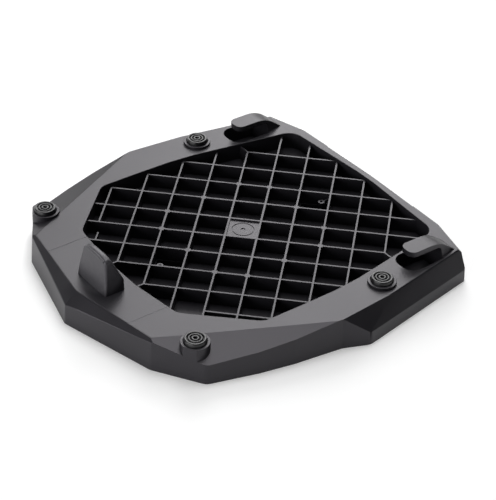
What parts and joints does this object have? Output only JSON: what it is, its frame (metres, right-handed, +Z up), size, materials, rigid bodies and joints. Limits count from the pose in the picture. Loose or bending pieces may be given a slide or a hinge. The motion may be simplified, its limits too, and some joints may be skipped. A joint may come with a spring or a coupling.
{
  "type": "top case mounting plate",
  "caption": "Moulded plastic plate for a motorbike's rear carrier, with a crossed-rib tray, hooks at the front, an upright catch block at the rear and rubber buffers that carry a top case.",
  "frame": {"origin": "on the ground below the middle of the plate's outline", "axes": "+X to the plate's right, +Y towards the two hooks, +Z up; the plate rests on the edge of its outer wall"},
  "size_m": [0.3102, 0.3085, 0.0574],
  "materials": {
    "dark_grey_plastic": "matte, finely textured",
    "black_rubber": "smooth, dull"
  },
  "bodies": {
    "root": {"plate_body": "dark_grey_plastic", "rubber_buffer_front_left": "black_rubber", "rubber_buffer_front_right": "black_rubber", "rubber_buffer_rear_left": "black_rubber", "rubber_buffer_rear_right": "black_rubber"}
  },
  "joints": []
}
